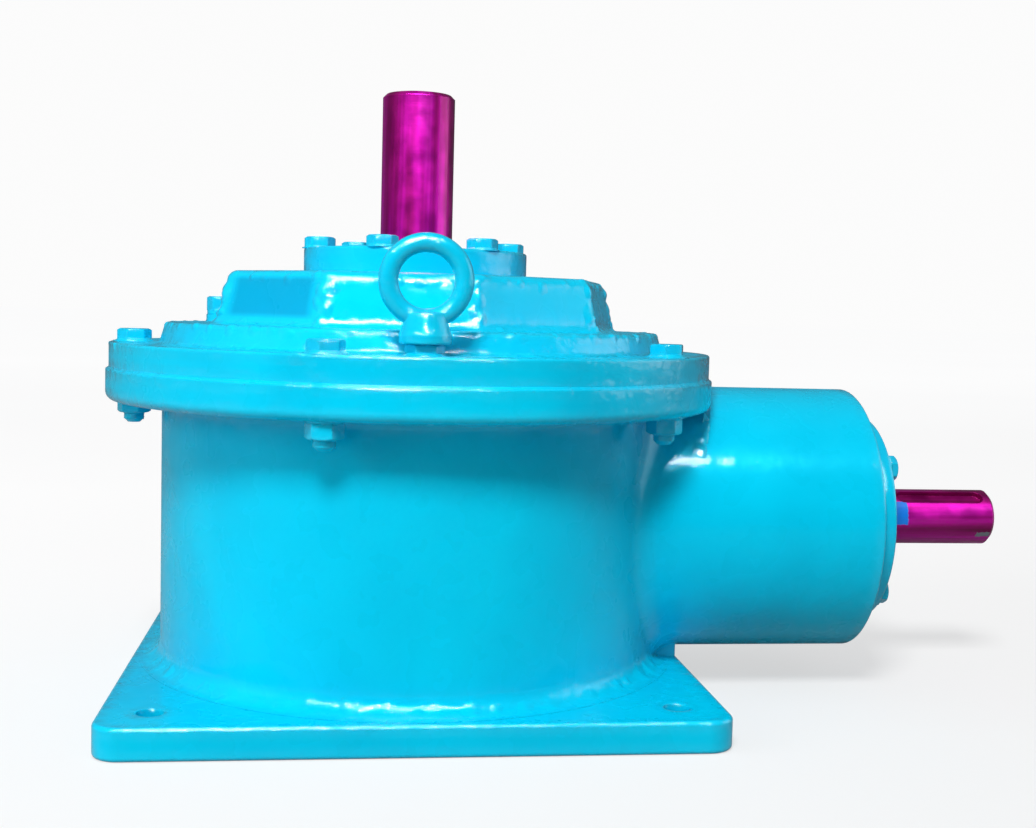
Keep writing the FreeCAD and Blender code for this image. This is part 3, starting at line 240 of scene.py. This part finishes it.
def blue_enamel():
    """Thick cyan gloss enamel. It is smooth on flats and lumpy near edges."""
    mat, tree, bsdf = new_material("blue_enamel_paint")
    edge = 0.0016
    here = object_coordinates(tree)
    patches = noise_value(tree, here, 7.0, 2.0, 0.5, 0.4)
    waves = noise_value(tree, here, 42.0, 2.0, 0.45)
    lumps = noise_value(tree, here, 95.0, 3.0, 0.55, 0.6)
    peel = noise_value(tree, here, 330.0, 1.0)
    runs = noise_value(tree, object_coordinates(tree, (34, 34, 5)), 1.0, 2.0, 0.4)
    blues = [(0.3, (0.0, 0.47, 0.70)), (0.55, (0.0, 0.53, 0.77)), (0.75, (0.0, 0.57, 0.81))]
    colour = ramp(tree, patches, blues)
    # Painted shade: the crown's face left of the front one is darkened to a deeper blue
    colour = blend_colour(tree, painted_shade_facet(tree, here), colour, (0.0, 0.33, 0.55))
    tree.links.new(colour, bsdf.inputs["Base Color"])
    tree.links.new(fit_range(tree, waves, 0.3, 0.7, 0.22, 0.36), bsdf.inputs["Roughness"])
    build_up = near_edge(tree, 0.016, 0.16, 1.0)
    normal = soft_edge(tree, edge)
    normal = bump(tree, waves, 0.0016, 0.35, normal)
    normal = bump(tree, runs, 0.0012, 0.15, normal)
    tree.links.new(normal, bsdf.inputs["Normal"])
    gloss = soft_edge(tree, edge * 3)
    gloss = bump(tree, waves, 0.0034, build_up, gloss)
    gloss = bump(tree, lumps, 0.0011, build_up, gloss)
    gloss = bump(tree, peel, 0.00004, build_up, gloss)
    tree.links.new(multiply(tree, build_up, 0.9), bsdf.inputs["Coat Weight"])
    tree.links.new(gloss, bsdf.inputs["Coat Normal"])
    bsdf.inputs["Specular Tint"].default_value = (0.0, 0.75, 1.0, 1.0)
    bsdf.inputs["IOR"].default_value = 1.4
    bsdf.inputs["Coat Roughness"].default_value = 0.06
    bsdf.inputs["Coat IOR"].default_value = 1.5
    bsdf.inputs["Coat Tint"].default_value = (0.96, 1.0, 1.0, 1.0)
    return mat


def pink_lacquer(name, along, marks):
    """Transparent pink lacquer on a turned steel shaft. along is the shaft's direction."""
    mat, tree, bsdf = new_material(name)
    lengthwise = (3, 55, 55) if along == "X" else (55, 55, 3)
    rings = (900, 4, 4) if along == "X" else (4, 4, 900)
    streaks = noise_value(tree, object_coordinates(tree, lengthwise), 1.0, 3.0, 0.6, 0.3)
    turning = noise_value(tree, object_coordinates(tree, rings), 1.0, 2.0, 0.5)
    pools = noise_value(tree, object_coordinates(tree), 60.0, 2.0, 0.5)
    pinks = [
        (0.32, (0.17, 0.001, 0.07)),
        (0.48, (0.40, 0.002, 0.22)),
        (0.60, (0.66, 0.006, 0.46)),
        (0.72, (0.85, 0.04, 0.62)),
    ]
    colour = marks(tree, ramp(tree, streaks, pinks), bsdf)
    tree.links.new(colour, bsdf.inputs["Base Color"])
    tree.links.new(fit_range(tree, pools, 0.3, 0.7, 0.28, 0.50), bsdf.inputs["Roughness"])
    normal = soft_edge(tree, 0.0008)
    normal = bump(tree, turning, 0.00008, 0.5, normal)
    tree.links.new(normal, bsdf.inputs["Normal"])
    bsdf.inputs["IOR"].default_value = 1.35
    bsdf.inputs["Coat Weight"].default_value = 0.3
    bsdf.inputs["Coat Roughness"].default_value = 0.06
    bsdf.inputs["Coat Tint"].default_value = (1.0, 0.55, 0.9, 1.0)
    return mat


def output_marks(tree, colour, bsdf):
    """The output shaft carries no marks."""
    bsdf.inputs["Metallic"].default_value = 0.75
    return colour


def input_marks(tree, colour, bsdf):
    """Blue overspray at the cap and a bare grey chip at the shaft's end."""
    here = object_coordinates(tree)
    ragged = tree.nodes.new("ShaderNodeTexNoise")
    ragged.inputs["Scale"].default_value = 300.0
    tree.links.new(here, ragged.inputs["Vector"])
    shift = tree.nodes.new("ShaderNodeVectorMath")
    shift.operation = "MULTIPLY_ADD"
    shift.inputs[1].default_value = (0.003, 0.003, 0.003)
    tree.links.new(ragged.outputs["Color"], shift.inputs[0])
    tree.links.new(here, shift.inputs[2])
    split = tree.nodes.new("ShaderNodeSeparateXYZ")
    tree.links.new(shift.outputs[0], split.inputs[0])
    height = tree.nodes.new("ShaderNodeMath")
    height.operation = "SUBTRACT"
    height.inputs[1].default_value = AXIS_Z + 0.0015
    tree.links.new(split.outputs["Z"], height.inputs[0])
    front = tree.nodes.new("ShaderNodeMath")
    front.operation = "MULTIPLY"
    front.inputs[1].default_value = -1.0
    tree.links.new(split.outputs["Y"], front.inputs[0])
    turn = tree.nodes.new("ShaderNodeMath")
    turn.operation = "ARCTAN2"
    tree.links.new(height.outputs[0], turn.inputs[0])
    tree.links.new(front.outputs[0], turn.inputs[1])
    along, round_it = split.outputs["X"], turn.outputs[0]
    spray_length = inside(tree, along, 0.4275, 0.0075, 0.0004)
    spray = multiply(tree, spray_length, inside(tree, round_it, 0.27, 0.46, 0.02))
    chip_length = inside(tree, along, 0.5058, 0.0062, 0.0006)
    chip = multiply(tree, chip_length, inside(tree, round_it, -0.60, 0.11, 0.02))
    tree.links.new(fit_range(tree, spray, 0.0, 1.0, 0.7, 0.0), bsdf.inputs["Metallic"])
    colour = blend_colour(tree, spray, colour, (0.0, 0.22, 0.75))
    return blend_colour(tree, chip, colour, (0.22, 0.28, 0.29))


def metal(name, dark, light, roughness, metallic=1.0, scale=60.0, grain=0.00005):
    """Steel, iron or brass with a cloudy colour and a fine grain."""
    mat, tree, bsdf = new_material(name)
    here = object_coordinates(tree)
    clouds = noise_value(tree, here, scale, 3.0, 0.6)
    fine = noise_value(tree, here, scale * 12, 2.0)
    tree.links.new(ramp(tree, clouds, [(0.3, dark), (0.7, light)]), bsdf.inputs["Base Color"])
    worn = fit_range(tree, clouds, 0.3, 0.7, roughness * 0.75, roughness * 1.3)
    tree.links.new(worn, bsdf.inputs["Roughness"])
    tree.links.new(bump(tree, fine, grain, 0.6, soft_edge(tree, 0.0004, 4)), bsdf.inputs["Normal"])
    bsdf.inputs["Metallic"].default_value = metallic
    return mat


def rubber(name, dark, light):
    """Dull rubber or gasket with a fine grain."""
    mat, tree, bsdf = new_material(name)
    here = object_coordinates(tree)
    clouds = noise_value(tree, here, 90.0, 3.0)
    grain = noise_value(tree, here, 1500.0, 1.0)
    tree.links.new(ramp(tree, clouds, [(0.3, dark), (0.7, light)]), bsdf.inputs["Base Color"])
    tree.links.new(fit_range(tree, clouds, 0.3, 0.7, 0.45, 0.6), bsdf.inputs["Roughness"])
    tree.links.new(bump(tree, grain, 0.00005, 0.5), bsdf.inputs["Normal"])
    return mat


def clear_glass(name):
    """Glass tinted by the oil behind it."""
    mat, tree, bsdf = new_material(name)
    here = object_coordinates(tree)
    level = noise_value(tree, here, 40.0, 2.0)
    oil = ramp(tree, level, [(0.3, (0.80, 0.62, 0.28)), (0.7, (0.92, 0.84, 0.60))])
    tree.links.new(oil, bsdf.inputs["Base Color"])
    tree.links.new(fit_range(tree, level, 0.3, 0.7, 0.03, 0.07), bsdf.inputs["Roughness"])
    bsdf.inputs["Transmission Weight"].default_value = 0.85
    bsdf.inputs["IOR"].default_value = 1.5
    return mat


looks = {
    "blue_enamel": blue_enamel(),
    "bare_steel": metal("bare_steel_ground", (0.42, 0.42, 0.43), (0.60, 0.60, 0.61), 0.28),
    "cast_hub": metal("cast_hub_iron", (0.11, 0.11, 0.115), (0.20, 0.20, 0.205), 0.55, 0.6, 90.0, 0.0003),
    "plated_brass": metal("plated_brass_look", (0.52, 0.38, 0.14), (0.72, 0.56, 0.26), 0.25),
    "sight_glass": clear_glass("sight_glass_clear"),
    "seal_rubber": rubber("seal_rubber_black", (0.012, 0.012, 0.013), (0.03, 0.03, 0.032)),
    "gasket": rubber("gasket_painted_edge", (0.0, 0.30, 0.48), (0.0, 0.38, 0.58)),
}
shaft_looks = {
    "output_shaft": pink_lacquer("pink_lacquer_output", "Z", output_marks),
    "pinion_shaft": pink_lacquer("pink_lacquer_input", "X", input_marks),
}
for name, obj in nodes.items():
    slot = obj.data.materials[0].name.split(".")[0]
    look = shaft_looks.get(name) or looks.get(slot)
    if look:
        obj.data.materials[0] = look


# Paint build-up and other small shapes on the housing

X, Y, Z = Vector((1, 0, 0)), Vector((0, 1, 0)), Vector((0, 0, 1))
UPRIGHT = (X, Y, Z)
HANGING = (X, -Y, -Z)
SIDEWAYS = (Y, Z, X)


def housing_piece(name, verts, faces, slot="blue_enamel"):
    """Smooth mesh that rides on the housing."""
    mesh = bpy.data.meshes.new(name)
    mesh.from_pydata(verts, [], faces)
    mesh.update()
    for polygon in mesh.polygons:
        polygon.use_smooth = True
    mesh.materials.append(looks[slot])
    obj = bpy.data.objects.new(name, mesh)
    bpy.context.scene.collection.objects.link(obj)
    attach(obj, "housing")


def lathe(verts, faces, profile, place, axes, count, wobble=0.0, seed=0.0):
    """Adds a closed ring with the (radius, height) profile, pushed about a little by noise."""
    side, across, up = axes
    first = len(verts)
    size = len(profile)
    middle_r = sum(r for r, _ in profile) / size
    middle_z = sum(z for _, z in profile) / size
    for i in range(count):
        turn = 2 * math.pi * i / count
        out = side * math.cos(turn) + across * math.sin(turn)
        swell = 1 + wobble * noise.noise(Vector((3 * math.cos(turn), 3 * math.sin(turn), seed)))
        for r, z in profile:
            reach = middle_r + (r - middle_r) * swell
            height = middle_z + (z - middle_z) * swell
            verts.append(place + out * reach + up * height)
    for i in range(count):
        for j in range(size):
            a = first + i * size + j
            b = first + i * size + (j + 1) % size
            c = first + (i + 1) % count * size + (j + 1) % size
            d = first + (i + 1) % count * size + j
            faces.append((a, b, c, d))


def meniscus(radius, reach, height):
    """Profile of paint drawn up round a bolt head, hollow outwards."""
    return [
        (radius - 0.0012, -0.0006),
        (radius - 0.0012, height),
        (radius + reach * 0.12, height * 0.92),
        (radius + reach * 0.28, height * 0.45),
        (radius + reach * 0.55, height * 0.16),
        (radius + reach, 0.0001),
        (radius + reach, -0.0006),
    ]


def round_places(radius, first, count, z):
    """Places round the upright axis, from the first angle on."""
    places = []
    for i in range(count):
        turn = math.radians(first + 360 * i / count)
        places.append(Vector((radius * math.cos(turn), radius * math.sin(turn), z)))
    return places


def flange_places(z):
    """Centres of the bolts in the large flange."""
    return round_places(FLANGE_BOLT_RADIUS, FLANGE_BOLT_FIRST_ANGLE, FLANGE_BOLTS, z)


def input_bolt_places(x):
    """Centres of the input cap's bolts, turned from the top towards the front."""
    places = []
    for i in range(INPUT_BOLTS):
        turn = math.radians(INPUT_BOLT_FIRST_ANGLE + 360 * i / INPUT_BOLTS)
        y = -INPUT_BOLT_RADIUS * math.sin(turn)
        z = AXIS_Z + INPUT_BOLT_RADIUS * math.cos(turn)
        places.append(Vector((x, y, z)))
    return places


def paint_fillets():
    """Paint that has pooled in the corners round bolt heads, nuts and the eyes' nuts."""
    verts, faces = [], []
    flange_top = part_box("cover_bolts")[1].z - FLANGE_HEAD_HEIGHT
    flange_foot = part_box("cover_nuts")[1].z
    for i, p in enumerate(flange_places(flange_top)):
        head_paint = meniscus(FLANGE_HEX_RADIUS, 0.0045, 0.0026)
        lathe(verts, faces, head_paint, p, UPRIGHT, 48, 0.35, i)
    for i, p in enumerate(flange_places(flange_foot)):
        nut_foot = p - Z * FLANGE_NUT_HEIGHT
        nut_paint = meniscus(FLANGE_HEX_RADIUS, 0.0035, 0.0020)
        thread_paint = meniscus(THREAD_RADIUS, 0.0022, 0.0014)
        lathe(verts, faces, nut_paint, p, HANGING, 48, 0.35, i + 7)
        lathe(verts, faces, thread_paint, nut_foot, HANGING, 32, 0.3, i + 9)
    for i, p in enumerate(round_places(FLANGE_BOLT_RADIUS, EYE_ANGLE, 2, flange_top)):
        eye_paint = meniscus(EYE_NUT_RADIUS, 0.0040, 0.0022)
        lathe(verts, faces, eye_paint, p, UPRIGHT, 48, 0.35, i + 13)
    cap_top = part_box("output_cap")[1].z
    output_places = round_places(OUTPUT_BOLT_RADIUS, OUTPUT_BOLT_FIRST_ANGLE, OUTPUT_BOLTS, cap_top)
    for i, p in enumerate(output_places):
        output_paint = meniscus(OUTPUT_HEX_RADIUS, 0.0028, 0.0018)
        lathe(verts, faces, output_paint, p, UPRIGHT, 40, 0.3, i + 17)
    cap_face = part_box("input_cap")[1].x
    for i, p in enumerate(input_bolt_places(cap_face)):
        input_paint = meniscus(INPUT_HEX_RADIUS, 0.0025, 0.0018)
        lathe(verts, faces, input_paint, p, SIDEWAYS, 40, 0.3, i + 23)
    housing_piece("paint_fillets", verts, faces)


def joint_bead():
    """Enamel that bridges the joint between the case and the cover."""
    verts, faces = [], []
    profile = [
        (0.2462, -0.0009), (0.2487, -0.0011), (0.2492, -0.0003), (0.2484, 0.0002),
        (0.2479, 0.0009), (0.2476, 0.0016), (0.2462, 0.0017),
    ]
    lathe(verts, faces, profile, Z * JOINT_Z, UPRIGHT, 360, 0.25, 31)
    housing_piece("joint_paint_bead", verts, faces)


def thread_ends():
    """Softened thread on the ends of the cover bolts, under the nuts."""
    verts, faces = [], []
    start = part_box("cover_bolts")[0].z + 0.0022
    root, ridge, pitch, steps = THREAD_RADIUS - 0.0002, 0.00045, 0.002, 28
    half_width = pitch * 0.34
    for place in flange_places(0):
        first = len(verts)
        count = steps * 3
        for i in range(count + 1):
            turn = 2 * math.pi * i / steps
            out = X * math.cos(turn) + Y * math.sin(turn)
            z = start + pitch * i / steps
            fade = min(1.0, i / 10, (count - i) / 10)
            centre = place + Z * z
            verts.append(centre + out * root - Z * half_width)
            verts.append(centre + out * (THREAD_RADIUS + ridge * fade))
            verts.append(centre + out * root + Z * half_width)
        for i in range(count):
            a = first + 3 * i
            faces.append((a, a + 3, a + 4, a + 1))
            faces.append((a + 1, a + 4, a + 5, a + 2))
    housing_piece("bolt_end_threads", verts, faces)


def sight_reflector():
    """Dished disc behind the sight glass."""
    verts, faces = [], []
    profile = [
        (0.0030, 0.0), (0.0060, 0.0006), (0.0112, 0.0026),
        (0.0112, 0.0020), (0.0060, 0.0001), (0.0030, -0.0006),
    ]
    lathe(verts, faces, profile, Vector(SIGHT_PLACE), (X, -Z, Y), 40)
    housing_piece("sight_reflector", verts, faces, "plated_brass")


def surface_of(node):
    """The node's surface, for rays."""
    return BVHTree.FromObject(nodes[node], bpy.context.evaluated_depsgraph_get())


def drape_lump(verts, faces, surface, target, out, reach, stretch, height, seed):
    """Adds a low dome of paint that follows the surface under it. out points away from the surface."""
    above, sink = 0.012, 0.00015
    centre, _, _, _ = surface.ray_cast(target + out * above, -out, 2 * above)
    if centre is None:
        return
    side = out.cross(Z).normalized()
    upward = side.cross(out)
    rings, count = 6, 18
    points = []
    for i in range(rings + 1):
        share = i / rings
        for j in range(count):
            turn = 2 * math.pi * j / count
            ragged = 1 + 0.45 * noise.noise(Vector((1.6 * math.cos(turn), 1.6 * math.sin(turn), seed)))
            across = side * math.cos(turn) + upward * stretch * math.sin(turn)
            shift = across * reach * ragged * share
            hit, _, _, _ = surface.ray_cast(centre + shift + out * above, -out, 2 * above)
            if hit is None or abs((hit - centre).dot(out)) > 0.8 * reach:
                return
            point = hit + out * (height * (0.5 + 0.5 * math.cos(math.pi * share)) - sink)
            spread = math.hypot(point.x, point.y)
            if spread > LARGEST_RADIUS:
                point.x *= LARGEST_RADIUS / spread
                point.y *= LARGEST_RADIUS / spread
            points.append(point)
    first = len(verts)
    verts.extend(points)
    for i in range(rings):
        for j in range(count):
            a, b = first + i * count + j, first + i * count + (j + 1) % count
            faces.append((a, b, b + count, a + count))


def outward(degrees, rise):
    """Direction away from the upright axis, raised by rise degrees."""
    turn, lift = math.radians(degrees), math.radians(rise)
    return Vector((math.cos(turn) * math.cos(lift), math.sin(turn) * math.cos(lift), math.sin(lift)))


def scatter_band(verts, faces, surface, count, band, rise, reach, height):
    """Lumps round the axis in a band with one radius and height, on paint that faces up by rise degrees."""
    radius, z = band
    for i in range(count):
        degrees = 360 * (i + random.uniform(0.1, 0.9)) / count
        level = outward(degrees, 0)
        target = level * (radius + random.uniform(-0.001, 0.001)) + Z * z
        drape_lump(verts, faces, surface, target, outward(degrees, rise), reach * random.uniform(0.7, 1.3),
                   random.uniform(0.7, 1.1), height * random.uniform(0.5, 1.2), i + 100 * z)


def crown_folds(verts, faces, cover):
    """Thick folds down the crown's corners, and lumps along its top edge and its foot."""
    crown_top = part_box("cover")[1].z
    for corner in range(CROWN_SIDES):
        degrees = CROWN_FACE_ANGLE + (180 + 360 * corner) / CROWN_SIDES
        for i in range(7):
            sideways = outward(degrees + random.uniform(-2.0, 2.0), 0) * CROWN_CORNER_RADIUS
            target = sideways + Z * random.uniform(CROWN_CORNER_LOW, CROWN_CORNER_HIGH)
            drape_lump(verts, faces, cover, target, outward(degrees, 12), random.uniform(0.004, 0.008),
                       random.uniform(0.8, 1.6), random.uniform(0.0010, 0.0024), corner * 10 + i)
    crown_edge = (CROWN_TOP_RADIUS, crown_top - 0.002)
    scatter_band(verts, faces, cover, 50, crown_edge, 50, 0.006, 0.0013)
    scatter_band(verts, faces, cover, 50, CROWN_FOOT, 45, 0.007, 0.0014)


def barrel_lumps(verts, faces, case):
    """Lumps on the front of the barrel, where it grows out of the drum."""
    for i in range(22):
        rise = math.radians(random.uniform(28, 62))
        out = Vector((random.uniform(-0.2, 0.0), -math.cos(rise), math.sin(rise))).normalized()
        along = Vector((random.uniform(BLEND_START, BLEND_END), 0, AXIS_Z))
        target = along + out * BLEND_REACH
        drape_lump(verts, faces, case, target, out, random.uniform(0.007, 0.013), random.uniform(0.6, 1.2),
                   random.uniform(0.0005, 0.0011), 500 + i)


def paint_lumps():
    """Lumps of thick paint at the castings' edges and corners."""
    verts, faces = [], []
    cover, case = surface_of("cover"), surface_of("case")
    crown_folds(verts, faces, cover)
    scatter_band(verts, faces, cover, 60, STEP_TOP, 50, 0.007, 0.0013)
    scatter_band(verts, faces, cover, 60, STEP_FOOT, 50, 0.007, 0.0014)
    scatter_band(verts, faces, cover, 70, FLANGE_TOP, 45, 0.006, 0.0010)
    scatter_band(verts, faces, case, 70, JOINT_EDGE, 30, 0.005, 0.0009)
    scatter_band(verts, faces, case, 60, DRUM_FOOT, 40, 0.010, 0.0011)
    barrel_lumps(verts, faces, case)
    housing_piece("paint_lumps", verts, faces)


paint_fillets()
joint_bead()
thread_ends()
paint_lumps()
sight_reflector()


# Studio

def floor_look():
    """Pale grey that takes shadows. It glows for the camera, more the farther the key light is in Y."""
    mat, tree, bsdf = new_material("studio_white")
    here = object_coordinates(tree)
    clouds = noise_value(tree, here, 0.6, 2.0)
    pale = ramp(tree, clouds, [(0.3, (0.30, 0.30, 0.30)), (0.7, (0.32, 0.32, 0.32))])
    tree.links.new(pale, bsdf.inputs["Base Color"])
    bsdf.inputs["Roughness"].default_value = 0.9
    bsdf.inputs["Specular IOR Level"].default_value = 0.0
    split = tree.nodes.new("ShaderNodeSeparateXYZ")
    tree.links.new(here, split.inputs[0])
    greys = (
        (0.0, 0.50), (0.09, 0.605), (0.17, 0.67), (0.27, 0.735),
        (0.39, 0.765), (0.55, 0.80), (1.0, 0.845),
    )
    from_lamp = tree.nodes.new("ShaderNodeMath")
    from_lamp.operation = "SUBTRACT"
    from_lamp.inputs[1].default_value = KEY_LIGHT_PLACE[1]
    tree.links.new(split.outputs["Y"], from_lamp.inputs[0])
    away = tree.nodes.new("ShaderNodeMath")
    away.operation = "ABSOLUTE"
    tree.links.new(from_lamp.outputs[0], away.inputs[0])
    near, far = 1.5, 8.1
    distance = fit_range(tree, away.outputs[0], near, far, 0.0, 1.0)
    lift = ramp(tree, distance, [(p, (v, v, v)) for p, v in greys])
    tree.links.new(lift, bsdf.inputs["Emission Color"])
    path = tree.nodes.new("ShaderNodeLightPath")
    tree.links.new(path.outputs["Is Camera Ray"], bsdf.inputs["Emission Strength"])
    return mat


def studio_floor():
    """Floor that is wide enough to fill the picture from every side."""
    size, steps = 40.0, 8
    verts = [
        (-size + 2 * size * i / steps, -size / 4 + 2 * size * j / steps, -0.0002)
        for j in range(steps + 1)
        for i in range(steps + 1)
    ]
    faces = []
    for j in range(steps):
        for i in range(steps):
            a = j * (steps + 1) + i
            faces.append((a, a + 1, a + steps + 2, a + steps + 1))
    mesh = bpy.data.meshes.new("studio_floor")
    mesh.from_pydata(verts, [], faces)
    mesh.materials.append(floor_look())
    obj = bpy.data.objects.new("studio_floor", mesh)
    bpy.context.scene.collection.objects.link(obj)


def area_light(name, place, target, size, power):
    """Rectangular lamp that points at the target."""
    data = bpy.data.lights.new(name, "AREA")
    data.shape = "RECTANGLE"
    data.size, data.size_y = size
    data.energy = power
    obj = bpy.data.objects.new(name, data)
    bpy.context.scene.collection.objects.link(obj)
    obj.location = place
    obj.rotation_euler = (Vector(target) - Vector(place)).to_track_quat("-Z", "Y").to_euler()
    return obj


def lights():
    """Key light in front, a soft light on the left, and lamps that show as highlights only."""
    area_light("key_light", KEY_LIGHT_PLACE, (0, 0, 0.2), (0.7, 0.7), 90)
    left = area_light("left_light", (-2.5, -0.9, 0.9), (0, 0, 0.2), (1.3, 1.3), 26)
    left.visible_glossy = False
    right = area_light("right_strip", (2.1, -0.1, 0.8), (0, 0, 0.35), (1.5, 1.2), 10)
    right.visible_diffuse = False
    top = area_light("top_glow", (-0.3, -1.7, 2.6), (0, 0, 0.25), (1.5, 0.9), 75)
    top.visible_diffuse = False
    spark_places = ((0.8, -1.6, 2.35), (-1.5, -1.8, 2.3), (-0.2, -2.2, 1.9))
    for number, place in enumerate(spark_places):
        spark = area_light("spark_light_%d" % number, place, (0, 0, 0.25), (0.28, 0.28), 28)
        spark.visible_diffuse = False


def background(tree, colour, strength):
    """One even sky."""
    node = tree.nodes.new("ShaderNodeBackground")
    node.inputs["Color"].default_value = (*colour, 1)
    node.inputs["Strength"].default_value = strength
    return node


def pick(tree, factor, first, second):
    """The first shader where the factor is 0, the second where it is 1."""
    node = tree.nodes.new("ShaderNodeMixShader")
    tree.links.new(factor, node.inputs["Fac"])
    tree.links.new(first.outputs[0], node.inputs[1])
    tree.links.new(second.outputs[0], node.inputs[2])
    return node


def sky():
    """Soft light from all round. It is dim in reflections and white to the camera."""
    world = bpy.data.worlds.new("studio")
    bpy.context.scene.world = world
    world.use_nodes = True
    tree = world.node_tree
    tree.nodes.clear()
    path = tree.nodes.new("ShaderNodeLightPath")
    pale, white = (0.97, 0.98, 1.0), (0.97, 0.97, 0.97)
    light, reflected = background(tree, pale, 0.40), background(tree, pale, 0.10)
    glow = pick(tree, path.outputs["Is Glossy Ray"], light, reflected)
    shown = pick(tree, path.outputs["Is Camera Ray"], glow, background(tree, white, 1.0))
    out = tree.nodes.new("ShaderNodeOutputWorld")
    tree.links.new(shown.outputs[0], out.inputs["Surface"])


studio_floor()
lights()
sky()


# Camera, fitted to the photograph's outline

def set_camera():
    """Camera in front of the gearbox, a little above the drum's middle."""
    pan, pitch, roll, yaw = (math.radians(a) for a in (0.65, 4.2, 1.5, -6.6))
    forward = Vector((math.sin(pan) * math.cos(pitch), math.cos(pan) * math.cos(pitch), -math.sin(pitch)))
    right = Vector((math.cos(pan), -math.sin(pan), 0))
    up = right.cross(forward)
    tilted_right = right * math.cos(roll) + up * math.sin(roll)
    tilted_up = up * math.cos(roll) - right * math.sin(roll)
    turn = Matrix((tilted_right, tilted_up, -forward)).transposed().to_4x4()
    data = bpy.data.cameras.new("camera")
    data.lens = 47.95
    data.sensor_width = 36
    data.clip_end = 60
    obj = bpy.data.objects.new("camera", data)
    bpy.context.scene.collection.objects.link(obj)
    place = Matrix.Translation((0.076, -1.1676, 0.312))
    obj.matrix_world = Matrix.Rotation(yaw, 4, "Z") @ place @ turn
    bpy.context.scene.camera = obj


set_camera()
bpy.context.scene.view_settings.view_transform = "Standard"
